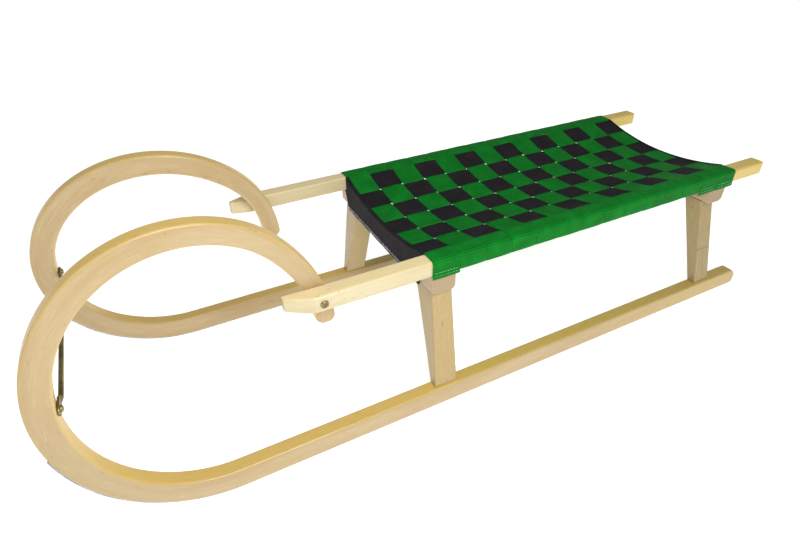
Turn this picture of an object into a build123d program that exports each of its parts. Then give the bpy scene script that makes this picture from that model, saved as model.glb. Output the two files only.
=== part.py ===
from build123d import *
import math
import os

# Wooden horn sled: two steam-bent runners, four splayed legs on two crossbars, two seat rails and a
# seat woven from webbing straps. Millimetres. The horns point along -X, +Z is up, and the sled
# stands on Z = 0 with the origin under the middle of its length and width.
os.makedirs("parts", exist_ok=True)

# Driving dimensions: overall
overall_length = 1236.0
seat_height = 265.0
seat_width = 340.0
track_centre = 371.5  # between the middles of the two runners on the ground

# Runners
runner_width = 23.5
runner_thickness = 35.0
horn_tip_thickness = 27.5
runner_edge_radius = 3.5
runner_heel_radius = 18.0
low_bend_radius = 194.0
low_bend_angle = 42.0
high_bend_radius = 173.5
bend_angle = 270.0
horn_tip_radius = 9.0
lean_in_angle = 212.0  # where around the bend the horn leans in the furthest
lean_back_angle = 253.0  # from here to its tip the horn lies flat along the seat rail
horn_gap_narrowest = 220.0  # between the two horns' middles at lean_in_angle

# Steel soles under the runners
sole_width = 18.0
sole_thickness = 1.85
sole_gap = 0.15
sole_bend_angle = 76.0
sole_inset = 4.0
sole_screw_count = 5
sole_screw_length = 14.0
sole_screw_radius = 1.7
sole_screw_head_radius = 3.6

# Seat rails
rail_width = 27.0
rail_height = 25.0
rail_edge_radius = 4.0
rail_rear_overhang = 81.0
rail_nose = 49.4  # from the horn screw to the rail's front tip
rail_tip_length = 37.0
rail_tip_cut = 17.0
rail_tip_rise = 5.0
rail_tip_rise_length = 28.0
rail_end_chamfer = 1.5

# Crossbars
crossbar_depth = 40.0
crossbar_height = 33.0
crossbar_edge_radius = 9.0
rear_crossbar_inset = 13.0  # from the rear edge of the seat

# Legs: the front pair is wider at the top, and the rear pair's feet stand further back
leg_top_middle = 33.0  # from the crossbar's end to the middle of a leg's top
leg_top_widths = {"front": 51.0, "rear": 36.0}
leg_top_setback = 5.5  # behind the crossbar's front face
leg_top_depth = 34.0
leg_foot_setbacks = {"front": -1.5, "rear": 12.5}
leg_foot_width = 16.5
leg_foot_depth = 41.0
leg_foot_inset = 2.0  # from the runner's middle line towards the sled's middle
leg_chamfer = 4.0
tenon_depth = 18.0
tenon_length = 14.0
top_tenon_width = 20.0
foot_tenon_width = 11.0

# Seat webbing
cross_strap_count = 14
cross_strap_pitch = 45.7
cross_strap_spacing = 1.3  # between neighbouring straps
long_strap_count = 6
long_strap_spacing = 4.25
webbing_thickness = 1.2
seat_sag_height = 244.0  # top of the webbing along the middle of the seat
loop_end_height = 256.0
open_end_drop = 4.0
hem_thickness = 1.5
front_hem_half_width = 154.0
front_hem_drop = 36.0
rear_hem_height = 4.0

# Tie rod between the horns
tie_rod_radius = 3.0
tie_rod_angle = 94.0  # where around the bend it is fastened
tie_tab_thickness = 3.0
tie_tab_height = 13.0
tie_tab_inset = 3.0
tie_screw_radius = 1.9
tie_screw_length = 20.0
tie_screw_head_radius = 4.2
tie_screw_head_height = 2.6

# Wood screws
horn_screw_radius = 2.5
horn_screw_head_radius = 5.6
horn_screw_head_height = 2.4
horn_screw_bite = 15.0
rail_screw_radius = 2.5
rail_screw_head_radius = 5.0
rail_screw_bite = 22.0
recess_width = 1.3
recess_length = 5.6
recess_depth = 1.2

# Clearances
fit = 0.1
contact_gap = 0.3
horn_gap = 0.6
strap_gap = 0.2

# Worked out from the above
rear_x = overall_length / 2
sole_layer = sole_thickness + sole_gap
runner_top = sole_layer + runner_thickness
rail_top = seat_height
rail_bottom = rail_top - rail_height
rail_outer = seat_width / 2
rail_inner = rail_outer - rail_width
crossbar_bottom = rail_bottom - crossbar_height
seat_rear_x = rear_x - rail_rear_overhang
seat_front_x = seat_rear_x - cross_strap_count * cross_strap_pitch
front_crossbar_x = seat_front_x
rear_crossbar_x = seat_rear_x - rear_crossbar_inset - crossbar_depth
track_y = track_centre / 2
narrow_y = horn_gap_narrowest / 2
horn_tip_y = rail_inner - horn_gap - runner_width / 2
cross_strap_width = cross_strap_pitch - cross_strap_spacing
long_strap_pitch = 2 * rail_inner / long_strap_count
long_strap_width = long_strap_pitch - long_strap_spacing


def thickness_at(angle):
    """In-plane thickness of the runner, tapering evenly round the bend."""
    return runner_thickness - (runner_thickness - horn_tip_thickness) * angle / bend_angle


def lean_at(angle):
    """Distance of the runner's middle from the sled's middle: it leans in round the bend on a cosine
    wave, and comes back out on another to lie against the seat rail."""
    if angle <= lean_in_angle:
        wave = (1 - math.cos(math.pi * angle / lean_in_angle)) / 2
        return track_y + (narrow_y - track_y) * wave
    turn = min((angle - lean_in_angle) / (lean_back_angle - lean_in_angle), 1.0)
    wave = (1 - math.cos(math.pi * turn)) / 2
    return narrow_y + (horn_tip_y - narrow_y) * wave


high_centre_x = -rear_x + high_bend_radius + thickness_at(90) / 2
radius_step = low_bend_radius - high_bend_radius
bend_start_x = high_centre_x + radius_step * math.sin(math.radians(low_bend_angle))
low_centre_z = sole_layer + runner_thickness / 2 + low_bend_radius
high_centre_z = low_centre_z - radius_step * math.cos(math.radians(low_bend_angle))


def outward_at(angle):
    """Unit vector from the bend's centre towards the runner: down at 0, forward at 90 degrees."""
    turn = math.radians(angle)
    return Vector(-math.sin(turn), 0, -math.cos(turn))


def bend_point(angle, offset=0.0):
    """A point beside the runner's middle line, offset outwards, in the +Y runner's own plane."""
    if angle <= low_bend_angle:
        centre = Vector(bend_start_x, lean_at(angle), low_centre_z)
        return centre + outward_at(angle) * (low_bend_radius + offset)
    centre = Vector(high_centre_x, lean_at(angle), high_centre_z)
    return centre + outward_at(angle) * (high_bend_radius + offset)


def section_plane(angle, offset=0.0):
    """A plane across the bend, with local X outwards and local Y along the sled's Y."""
    outward = outward_at(angle)
    return Plane(bend_point(angle, offset), x_dir=outward, z_dir=outward.cross(Vector(0, 1, 0)))


def both_sides(shape):
    """The shape made for +Y and its mirror image for -Y, by side name."""
    return {"right": shape, "left": mirror(shape, about=Plane.XZ)}


def block(low, high):
    """A box between two corners."""
    size = Vector(*high) - Vector(*low)
    middle = (Vector(*high) + Vector(*low)) / 2
    return Pos(*middle) * Box(size.X, size.Y, size.Z)


def rod(start, end, radius):
    """A round bar between two points."""
    along = Vector(*end) - Vector(*start)
    return extrude(Plane(start, z_dir=along) * Circle(radius), along.length)


def countersunk_screw(seat, direction, radius, head_radius, length):
    """A screw whose flat head is flush at the seat point; its cone is as deep as it is wide."""
    along = Vector(*direction).normalized()
    head_depth = head_radius - radius
    outline = Polyline(
        (0, 0),
        (head_radius, 0),
        (radius, head_depth),
        (radius, length - radius),
        (0, length),
        (0, 0),
    )
    turned = revolve(Plane.XZ * make_face(outline), Axis.Z)
    return Plane(seat, z_dir=along).location * turned


def pan_screw(seat, direction, radius, head_radius, head_height, length):
    """A screw with a low round head standing on the seat point and a cross recess in it."""
    along = Vector(*direction).normalized()
    plane = Plane(seat, z_dir=along)
    head_top = plane.origin - along * head_height
    head = extrude(Plane(head_top, z_dir=along) * Circle(head_radius), head_height)
    head = fillet(head.faces().sort_by(Axis(seat, along))[0].edges(), head_height * 0.6)
    shank = rod(seat, tuple(Vector(*seat) + along * length), radius)
    recess = Box(recess_length, recess_width, recess_depth * 2)
    recess += Box(recess_width, recess_length, recess_depth * 2)
    return head + shank - Plane(head_top, z_dir=along).location * recess


def screw_hole(seat, direction, radius, length):
    """A blind hole with running room round a screw."""
    along = Vector(*direction).normalized()
    start = Vector(*seat) - along * fit
    return rod(tuple(start), tuple(Vector(*seat) + along * (length + fit)), radius + fit)


# Where the fastenings go, on the +Y side
horn_screw_z = (rail_top + rail_bottom) / 2
horn_screw_rise = horn_screw_z - high_centre_z
horn_screw_x = high_centre_x + math.sqrt(high_bend_radius**2 - horn_screw_rise**2)
horn_screw_seat = (horn_screw_x, rail_outer, horn_screw_z)
horn_screw_length = rail_width + horn_gap + horn_screw_bite

tie_concave = -thickness_at(tie_rod_angle) / 2
tie_tab_middle = bend_point(tie_rod_angle, tie_concave - contact_gap - tie_tab_thickness / 2)
tie_screw_seat = bend_point(tie_rod_angle, tie_concave - contact_gap - tie_tab_thickness)
tie_screw_drive = outward_at(tie_rod_angle)

rail_screw_y = rail_outer - rail_width / 2
rail_screw_length = rail_height + rail_screw_bite
rail_screw_xs = (front_crossbar_x + crossbar_depth / 2, rear_crossbar_x + crossbar_depth / 2)

sole_rear_x = rear_x - sole_inset
sole_screw_first = bend_start_x + runner_thickness
sole_screw_step = (sole_rear_x - runner_thickness / 2 - sole_screw_first) / (sole_screw_count - 1)
sole_screw_xs = [sole_screw_first + index * sole_screw_step for index in range(sole_screw_count)]

crossbar_xs = {"front": front_crossbar_x, "rear": rear_crossbar_x}
leg_top_y = rail_outer - leg_top_middle
leg_foot_y = track_y - leg_foot_inset


def top_tenon(end, room=0.0):
    """The tenon at the top of a leg, or with room round it, the mortise that it fits."""
    middle_x = crossbar_xs[end] + leg_top_setback + leg_top_depth / 2
    half_length = tenon_length / 2 + room
    half_width = top_tenon_width / 2 + room
    low = (middle_x - half_length, leg_top_y - half_width, crossbar_bottom)
    high = (middle_x + half_length, leg_top_y + half_width, crossbar_bottom + tenon_depth + room)
    return block(low, high)


def foot_tenon(end, room=0.0):
    """The tenon at the foot of a leg, or with room round it, the mortise that it fits."""
    middle_x = crossbar_xs[end] + leg_foot_setbacks[end] + leg_foot_depth / 2
    half_length = tenon_length / 2 + room
    half_width = foot_tenon_width / 2 + room
    low = (middle_x - half_length, leg_foot_y - half_width, runner_top - tenon_depth - room)
    high = (middle_x + half_length, leg_foot_y + half_width, runner_top)
    return block(low, high)


def leg(end):
    """A splayed wedge, wide under the crossbar and narrow on the runner, with a tenon at each end."""
    outlines = []
    for level, setback, depth, middle_y, width in (
        (crossbar_bottom, leg_top_setback, leg_top_depth, leg_top_y, leg_top_widths[end]),
        (runner_top, leg_foot_setbacks[end], leg_foot_depth, leg_foot_y, leg_foot_width),
    ):
        front = crossbar_xs[end] + setback
        rear = front + depth
        outer_y = middle_y + width / 2
        corners = [
            (front, middle_y - width / 2),
            (front, outer_y),
            (rear - leg_chamfer, outer_y),
            (rear, outer_y - leg_chamfer),
            (rear, middle_y - width / 2),
        ]
        outlines.append(Pos(0, 0, level) * make_face(Polyline(*corners, close=True)))
    return loft(outlines) + top_tenon(end) + foot_tenon(end)


def corner_waste(plane, edge, side, radius, width):
    """What is cut away to round a corner: local X meets the edge, and local Z runs into the wood."""
    past = 1.0
    square = Pos(side * (edge - radius + (radius + past) / 2), 0, (radius - past) / 2)
    square *= Box(radius + past, width, radius + past)
    square -= Pos(side * (edge - radius), 0, radius) * Rot(90, 0, 0) * Cylinder(radius, width)
    return plane.location * square


def runner():
    """The bent bar: a straight run, then a bend of two radii that leans in and back out."""
    straight = extrude(
        section_plane(0) * RectangleRounded(runner_thickness, runner_width, runner_edge_radius),
        rear_x - bend_start_x,
    )
    heel = Plane((rear_x, track_y, sole_layer + runner_thickness / 2), x_dir=(0, 0, -1), z_dir=(-1, 0, 0))
    straight -= corner_waste(heel, runner_thickness / 2, -1, runner_heel_radius, runner_width * 2)

    steps = 26
    sections = []
    for step in range(steps + 1):
        angle = bend_angle * step / steps
        outline = RectangleRounded(thickness_at(angle), runner_width, runner_edge_radius)
        sections.append(section_plane(angle) * outline)
    bent = loft(sections)
    tip = section_plane(bend_angle)
    for side in (1, -1):
        bent -= corner_waste(tip, horn_tip_thickness / 2, side, horn_tip_radius, runner_width * 2)

    whole = straight + bent
    for end in crossbar_xs:
        whole -= foot_tenon(end, fit)
    for screw_x in sole_screw_xs:
        whole -= screw_hole((screw_x, track_y, 0), (0, 0, 1), sole_screw_radius, sole_screw_length)
    whole -= screw_hole(horn_screw_seat, (0, -1, 0), horn_screw_radius, horn_screw_length)
    whole -= screw_hole(tie_screw_seat, tie_screw_drive, tie_screw_radius, tie_screw_length)
    return whole


def sole():
    """The flat steel strip under a runner, carried up the front of the bend."""
    level = block(
        (bend_start_x, track_y - sole_width / 2, 0),
        (sole_rear_x, track_y + sole_width / 2, sole_thickness),
    )
    steps = 8
    sections = []
    for step in range(steps + 1):
        angle = sole_bend_angle * step / steps
        offset = thickness_at(angle) / 2 + sole_gap + sole_thickness / 2
        sections.append(section_plane(angle, offset) * Rectangle(sole_thickness, sole_width))
    strip = level + loft(sections)
    for screw_x in sole_screw_xs:
        seat = (screw_x, track_y, 0)
        room = countersunk_screw(
            seat, (0, 0, 1), sole_screw_radius + fit, sole_screw_head_radius + fit, sole_screw_length
        )
        strip -= room
    return strip


def sole_screws():
    """Countersunk screws that hold a sole, their heads flush with its underside."""
    screws = []
    for screw_x in sole_screw_xs:
        seat = (screw_x, track_y, fit / 2)
        screws.append(
            countersunk_screw(seat, (0, 0, 1), sole_screw_radius, sole_screw_head_radius, sole_screw_length)
        )
    return screws


def crossbar(end):
    """A bar across the sled with rounded lower edges, mortised for two legs."""
    front_x = crossbar_xs[end]
    back_x = front_x + crossbar_depth
    bar = block((front_x, -rail_outer, crossbar_bottom), (back_x, rail_outer, rail_bottom))
    lower = bar.edges().filter_by(Axis.Y).group_by(Axis.Z)[0]
    bar = fillet(lower, crossbar_edge_radius)
    seat = (front_x + crossbar_depth / 2, rail_screw_y, rail_top)
    hole = screw_hole(seat, (0, 0, -1), rail_screw_radius, rail_screw_length)
    for cut in (top_tenon(end, fit), hole):
        bar -= cut
        bar -= mirror(cut, about=Plane.XZ)
    return bar


def seat_rail():
    """A rail with rounded edges, its front tip cut away outside and below."""
    front_x = horn_screw_x - rail_nose
    rail = block((front_x, rail_inner, rail_bottom), (rear_x, rail_outer, rail_top))
    rail = fillet(rail.edges().filter_by(Axis.X), rail_edge_radius)
    outer_cut = Polyline(
        (front_x, rail_outer - rail_tip_cut),
        (front_x + rail_tip_length, rail_outer),
        (front_x, rail_outer + 1),
        close=True,
    )
    rail -= Pos(0, 0, rail_bottom) * extrude(make_face(outer_cut), rail_height)
    lower_cut = Plane.XZ * make_face(
        Polyline(
            (front_x, rail_bottom + rail_tip_rise),
            (front_x + rail_tip_rise_length, rail_bottom),
            (front_x, rail_bottom - 1),
            close=True,
        )
    )
    rail -= extrude(lower_cut, -rail_outer)
    rear_edges = rail.faces().sort_by(Axis.X)[-1].edges()
    rail = chamfer(rear_edges, rail_end_chamfer)
    rail -= screw_hole(horn_screw_seat, (0, -1, 0), horn_screw_radius, horn_screw_length)
    for screw_x in rail_screw_xs:
        seat = (screw_x, rail_screw_y, rail_top)
        rail -= countersunk_screw(
            seat, (0, 0, -1), rail_screw_radius + fit, rail_screw_head_radius + fit, rail_screw_length
        )
    return rail


def rail_screws():
    """Four countersunk screws through the rails into the crossbars, hidden by the webbing."""
    screws = []
    for screw_x in rail_screw_xs:
        for y in (rail_screw_y, -rail_screw_y):
            seat = (screw_x, y, rail_top - fit)
            screws.append(
                countersunk_screw(
                    seat, (0, 0, -1), rail_screw_radius, rail_screw_head_radius, rail_screw_length - 1
                )
            )
    return Compound(screws)


def tie_rod():
    """A round rod between the horns, its ends pressed flat into tabs against their concave faces."""
    axis_offset = tie_concave - contact_gap - tie_rod_radius
    tab_end = lean_at(tie_rod_angle) + runner_width / 2 - tie_tab_inset
    tab_start = lean_at(tie_rod_angle) - runner_width / 2 - tie_tab_inset
    middle = bend_point(tie_rod_angle, axis_offset)
    bar = rod((middle.X, -tab_start, middle.Z), (middle.X, tab_start, middle.Z), tie_rod_radius)
    plane = Plane(
        (tie_tab_middle.X, 0, tie_tab_middle.Z),
        x_dir=(0, 1, 0),
        z_dir=outward_at(tie_rod_angle),
    )
    for side in (1, -1):
        length = tab_end - tab_start + tie_rod_radius
        middle_y = side * (tab_end - length / 2)
        tab = extrude(
            plane * Pos(middle_y, 0) * RectangleRounded(length, tie_tab_height, tie_tab_height / 2 - fit),
            tie_tab_thickness / 2,
            both=True,
        )
        bar += tab
    hole = screw_hole(tie_screw_seat, tie_screw_drive, tie_screw_radius, tie_screw_length)
    bar -= hole
    bar -= mirror(hole, about=Plane.XZ)
    return bar


sag_run = rail_inner + rail_edge_radius
top_gap = strap_gap + webbing_thickness
sag_turn = 2 * math.atan((rail_top + top_gap - seat_sag_height) / sag_run)
sag_radius = sag_run / math.sin(sag_turn) - rail_edge_radius
sag_centre_z = rail_top - rail_edge_radius + (rail_edge_radius + sag_radius) * math.cos(sag_turn)


def sag_layer(low_gap, high_gap, low_y, high_y):
    """A thin slice of the sagging seat between two Y values, as a face across the sled."""
    edges = []
    ends = []
    for gap in (low_gap, high_gap):
        radius = sag_radius - gap
        turns = [math.asin(y / radius) for y in (low_y, (low_y + high_y) / 2, high_y)]
        points = [(radius * math.sin(t), sag_centre_z - radius * math.cos(t)) for t in turns]
        edges.append(ThreePointArc(*points))
        ends.append((points[0], points[2]))
    edges.append(Line(ends[0][0], ends[1][0]))
    edges.append(Line(ends[0][1], ends[1][1]))
    return Plane.YZ * make_face(edges)


def rail_arc(y, z, radius, start, end):
    """An arc about a rail's rounded corner, between two directions in degrees from +Y."""
    points = []
    for direction in (start, (start + end) / 2, end):
        turn = math.radians(direction)
        points.append((y + radius * math.cos(turn), z + radius * math.sin(turn)))
    return ThreePointArc(*points), points[0], points[2]


def half_strap(gap, looped):
    """The +Y half of a strap's outline at a gap from the rail: from its end, round the rail, to the
    point where it meets the sag. Gives the edges, the end point and the meeting point."""
    r = rail_edge_radius
    corners = []
    if looped:
        corners.append((rail_inner + r, rail_bottom + r, 180, 270))
        corners.append((rail_outer - r, rail_bottom + r, 270, 360))
        end = (rail_inner - gap, loop_end_height)
    else:
        end = (rail_outer + gap, rail_bottom - open_end_drop)
    corners.append((rail_outer - r, rail_top - r, 0, 90))
    corners.append((rail_inner + r, rail_top - r, 90, 90 + math.degrees(sag_turn)))
    edges = []
    last = end
    for y, z, start, stop in corners:
        arc, first, final = rail_arc(y, z, r + gap, start, stop)
        edges.append(Line(last, first))
        edges.append(arc)
        last = final
    return edges, end, last


def cross_strap(front_x, looped):
    """A strap across the seat: it sags between the rails and wraps over or right round them."""
    edges = []
    ends = []
    for gap in (strap_gap, strap_gap + webbing_thickness):
        half, end, meeting = half_strap(gap, looped)
        edges.extend(half)
        edges.extend(mirror(edge, about=Plane.YZ) for edge in half)
        lowest = (0, sag_centre_z - (sag_radius - gap))
        edges.append(ThreePointArc(meeting, lowest, (-meeting[0], meeting[1])))
        ends.append(end)
    for side in (1, -1):
        edges.append(Line((side * ends[0][0], ends[0][1]), (side * ends[1][0], ends[1][1])))
    outline = Plane.YZ * make_face(edges)
    return Pos(front_x, 0, 0) * extrude(outline, cross_strap_width)


def long_strap(index):
    """A strap along the seat, in a layer just under the cross straps."""
    middle = rail_inner - long_strap_pitch * (index + 0.5)
    low_y = middle - long_strap_width / 2
    face = sag_layer(-webbing_thickness, 0.0, low_y, low_y + long_strap_width)
    length = seat_rear_x - seat_front_x - 2 * strap_gap
    return Pos(seat_front_x + strap_gap, 0, 0) * extrude(face, length)


def front_hem():
    """The doubled black hem: it closes the seat's front edge and hangs down before the crossbar."""
    inner_y = rail_inner - contact_gap
    under = rail_bottom - contact_gap
    low_z = rail_bottom - front_hem_drop
    flap = Rectangle(2 * front_hem_half_width, under - low_z)
    upper = Rectangle(2 * inner_y, rail_top - under)
    radius = sag_radius - top_gap
    face = Pos(0, (under + low_z) / 2) * flap + Pos(0, (under + rail_top) / 2) * upper
    face -= Pos(0, sag_centre_z) * Circle(radius)
    front_x = seat_front_x - contact_gap - hem_thickness
    return Pos(front_x, 0, 0) * extrude(Plane.YZ * face, hem_thickness)


def rear_hem():
    """The narrow black hem along the seat's free rear edge."""
    inner_y = rail_inner - contact_gap
    face = sag_layer(top_gap - rear_hem_height, top_gap, -inner_y, inner_y)
    return Pos(seat_rear_x + contact_gap, 0, 0) * extrude(face, hem_thickness)


nodes = {}
for side, shape in both_sides(runner()).items():
    nodes["runner_" + side] = shape
for side, shape in both_sides(sole()).items():
    nodes["runner_sole_" + side] = shape
nodes["sole_screws_right"] = Compound(sole_screws())
nodes["sole_screws_left"] = Compound([mirror(screw, about=Plane.XZ) for screw in sole_screws()])
for end in crossbar_xs:
    nodes["crossbar_" + end] = crossbar(end)
    for side, shape in both_sides(leg(end)).items():
        nodes["leg_" + end + "_" + side] = shape
for side, shape in both_sides(seat_rail()).items():
    nodes["seat_rail_" + side] = shape
nodes["rail_screws"] = rail_screws()
horn_screw = pan_screw(
    horn_screw_seat,
    (0, -1, 0),
    horn_screw_radius,
    horn_screw_head_radius,
    horn_screw_head_height,
    horn_screw_length,
)
for side, shape in both_sides(horn_screw).items():
    nodes["horn_screw_" + side] = shape
nodes["tie_rod"] = tie_rod()
tie_screw = pan_screw(
    tie_screw_seat,
    tie_screw_drive,
    tie_screw_radius,
    tie_screw_head_radius,
    tie_screw_head_height,
    tie_screw_length,
)
nodes["tie_rod_screws"] = Compound(list(both_sides(tie_screw).values()))
for index in range(cross_strap_count):
    front_x = seat_front_x + index * cross_strap_pitch + cross_strap_spacing / 2
    clear_of_front = front_x > seat_front_x + crossbar_depth
    clear_of_rear = front_x + cross_strap_width < rear_crossbar_x
    nodes["cross_strap_%02d" % (index + 1)] = cross_strap(front_x, clear_of_front and clear_of_rear)
for index in range(long_strap_count):
    nodes["long_strap_%d" % (index + 1)] = long_strap(index)
nodes["front_hem_band"] = front_hem()
nodes["rear_hem_band"] = rear_hem()

for name, shape in nodes.items():
    export_step(shape, os.path.join("parts", name + ".step"))
    print(name, round(shape.volume))
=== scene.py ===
"""The looks of a wooden horn sled: bent beech runners, splayed legs, rounded seat rails, a seat woven
from green and black webbing, and a steel tie rod. Metres; the horns point along -X and +Z is up."""

import math

import bpy
import numpy as np
from mathutils import Matrix, Vector


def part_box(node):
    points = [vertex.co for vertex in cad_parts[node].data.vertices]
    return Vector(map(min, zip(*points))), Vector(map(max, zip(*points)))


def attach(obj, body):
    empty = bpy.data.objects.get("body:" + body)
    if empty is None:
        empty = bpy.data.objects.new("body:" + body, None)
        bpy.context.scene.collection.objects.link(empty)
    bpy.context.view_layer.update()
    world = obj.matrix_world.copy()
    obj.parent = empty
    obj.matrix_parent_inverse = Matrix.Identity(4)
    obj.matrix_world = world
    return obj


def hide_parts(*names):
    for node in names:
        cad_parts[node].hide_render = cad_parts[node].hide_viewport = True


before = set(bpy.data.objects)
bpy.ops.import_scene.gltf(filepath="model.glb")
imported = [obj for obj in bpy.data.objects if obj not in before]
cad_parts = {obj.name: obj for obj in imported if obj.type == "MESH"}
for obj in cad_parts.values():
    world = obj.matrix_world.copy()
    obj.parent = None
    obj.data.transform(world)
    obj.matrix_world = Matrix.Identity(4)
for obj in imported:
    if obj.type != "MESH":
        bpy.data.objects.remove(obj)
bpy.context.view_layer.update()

# ---------------------------------------------------------------- sizes, from the frame where it has them
runner_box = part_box("runner_right")
rail_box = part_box("seat_rail_right")
bar_boxes = {"front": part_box("crossbar_front"), "rear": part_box("crossbar_rear")}

REAR_X = runner_box[1].x
RUNNER_FLOOR = runner_box[0].z
RUNNER_WIDTH = 0.0235
RUNNER_THICKNESS = 0.035
HORN_TIP_THICKNESS = 0.0275
RUNNER_EDGE = 0.0035
HEEL_RADIUS = 0.018
LOW_BEND = 0.194
LOW_BEND_TURN = 42.0
HIGH_BEND = 0.1735
BEND_TURN = 270.0
HORN_TIP_RADIUS = 0.009
TRACK_Y = runner_box[1].y - RUNNER_WIDTH / 2
LEAN_IN_TURN = 212.0
LEAN_BACK_TURN = 253.0
NARROW_Y = 0.110
HORN_GAP = 0.0006

RAIL_INNER = rail_box[0].y
RAIL_OUTER = rail_box[1].y
RAIL_BOTTOM = rail_box[0].z
RAIL_TOP = rail_box[1].z
RAIL_FRONT = rail_box[0].x
RAIL_EDGE = 0.004
RAIL_TIP_LENGTH = 0.037
RAIL_TIP_CUT = 0.017
RAIL_TIP_RISE = 0.005
RAIL_TIP_RISE_LENGTH = 0.028
RAIL_TIP_EDGE = 0.0022
RAIL_CREASE = 0.002
HORN_TIP_Y = RAIL_INNER - HORN_GAP - RUNNER_WIDTH / 2

BAR_LOWER_EDGE = 0.009
BAR_UPPER_EDGE = 0.0012
RUNNER_TOP = RUNNER_FLOOR + RUNNER_THICKNESS
BAR_BOTTOM = bar_boxes["front"][0].z
LEG_TOP_Y = RAIL_OUTER - 0.033
LEG_TOP_WIDTHS = {"front": 0.051, "rear": 0.036}
LEG_TOP_SETBACK = 0.0055
LEG_TOP_DEPTH = 0.034
LEG_FOOT_SETBACKS = {"front": -0.0015, "rear": 0.0125}
LEG_FOOT_WIDTH = 0.0165
LEG_FOOT_DEPTH = 0.041
LEG_FOOT_Y = TRACK_Y - 0.002
LEG_EDGE = 0.0016
LEG_JOINT_EDGE = 0.0012
LEG_GRAIN_START = 17.0
LEG_GRAIN_STEP = 2.3
MARKED_LEG = ("rear", "left")
MARK_HEIGHT = 0.074
LEG_REAR_EDGE = 0.004

GREEN_COUNT = 14
BLACK_COUNT = 6
SEAT_FRONT = bar_boxes["front"][0].x
SEAT_END_ROOM = 0.0003
SEAT_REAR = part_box("rear_hem_band")[0].x - SEAT_END_ROOM
GREEN_PITCH = (SEAT_REAR - SEAT_FRONT) / GREEN_COUNT
BLACK_PITCH = 2 * RAIL_INNER / BLACK_COUNT
GREEN_WIDTH = 0.0442
BLACK_WIDTH = 0.0436
WEBBING = 0.0013
STRAP_WANDER = 0.0003
LAYER_GAP = 0.0001
OVER_AND_UNDER = 0.00085
RAIL_CLEARANCE = 0.0002
RAIL_SLACK = 0.00022
GREEN_CROWN = 0.00022
BLACK_CROWN = 0.00018
OPEN_LIFT = 0.0007
OPEN_LIFT_LENGTH = 0.009
SAG_TOP = 0.244
LOOP_END = 0.256
OPEN_END = 0.236

TIE_TURN = 94.0
TIE_RADIUS = 0.003
TIE_NECK = 0.005
TIE_TAB = (0.0065, 0.0015)
TIE_TAB_SHIFT = 0.003
TIE_CLEARANCE = 0.0003


# ---------------------------------------------------------------- meshes
POLE_INSET = 0.0012
FLAT_LIP = 0.0012
SMALLEST_HALF = 0.0003
SMALLEST_EDGE = 0.0002


def finished(name, points, faces, attributes, material, replaced):
    """A smooth mesh object at the origin with point attributes, riding on the frame."""
    mesh = bpy.data.meshes.new(name)
    mesh.from_pydata(np.asarray(points).reshape(-1, 3).tolist(), [], faces)
    mesh.update()
    for key, values in attributes.items():
        values = np.asarray(values, np.float32)
        if values.ndim == 1:
            mesh.attributes.new(key, "FLOAT", "POINT").data.foreach_set("value", values)
        else:
            mesh.attributes.new(key, "FLOAT_VECTOR", "POINT").data.foreach_set("vector", values.ravel())
    mesh.shade_smooth()
    mesh.materials.append(material)
    piece = bpy.data.objects.new(name, mesh)
    bpy.context.scene.collection.objects.link(piece)
    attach(piece, "root")
    if replaced:
        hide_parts(*replaced)
    return piece


def ring_template(arc_steps=5):
    """The points of a rounded rectangle, corner by corner: each corner's sign, the direction of each
    point from the corner's centre, and a push along the flat for the point beside each arc's end."""
    corner, sign, direction, push = [], [], [], []
    for index, signs in enumerate(((1, 1), (-1, 1), (-1, -1), (1, -1))):
        turn = np.radians(np.linspace(90 * index, 90 * index + 90, arc_steps + 1))
        turn = np.concatenate([turn[:1], turn, turn[-1:]])
        shift = np.zeros((len(turn), 2))
        shift[0] = (np.sin(turn[0]), -np.cos(turn[0]))
        shift[-1] = (-np.sin(turn[-1]), np.cos(turn[-1]))
        corner.append(np.full(len(turn), index))
        sign.append(np.tile(signs, (len(turn), 1)))
        direction.append(np.stack([np.cos(turn), np.sin(turn)], 1))
        push.append(shift)
    return [np.concatenate(part) for part in (corner, sign, direction, push)]


def unit(vectors):
    """Vectors along the last axis, each divided by its own length."""
    return vectors / np.linalg.norm(vectors, axis=-1, keepdims=True)


def eased(value):
    """Three times the square less twice the cube, level at 0 and at 1 and held there beyond them."""
    value = np.clip(value, 0, 1)
    return value * value * (3 - 2 * value)


def with_round_ends(values, end_edge):
    """Adds the stations that round a bar's two ends: over a quarter turn, the section moves out by the
    edge's radius times the sine, and shrinks by the radius times one less the cosine."""
    centre, half, radius = values
    turn = np.radians([90.0, 90.0, 60.0, 30.0, 0.0])
    extra = np.array([POLE_INSET, 0.0, 0.0, 0.0, 0.0])
    inset = end_edge * (1 - np.cos(turn)) + extra
    heading = [unit(centre[1] - centre[0]), unit(centre[-2] - centre[-1])]
    first = centre[0] + heading[0] * (end_edge * (1 - np.sin(turn)))[:, None]
    last = centre[-1] + heading[1] * (end_edge * (1 - np.sin(turn)))[:, None]
    first_half = np.maximum(half[0] - inset[:, None], SMALLEST_HALF)
    last_half = np.maximum(half[-1] - inset[:, None], SMALLEST_HALF)
    first_radius = np.clip(radius[0] - inset[:, None], SMALLEST_EDGE, first_half.min(1, keepdims=True))
    last_radius = np.clip(radius[-1] - inset[:, None], SMALLEST_EDGE, last_half.min(1, keepdims=True))
    return (
        np.concatenate([first, centre[1:-1], last[::-1]]),
        np.concatenate([first_half, half[1:-1], last_half[::-1]]),
        np.concatenate([first_radius, radius[1:-1], last_radius[::-1]]),
    )


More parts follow.
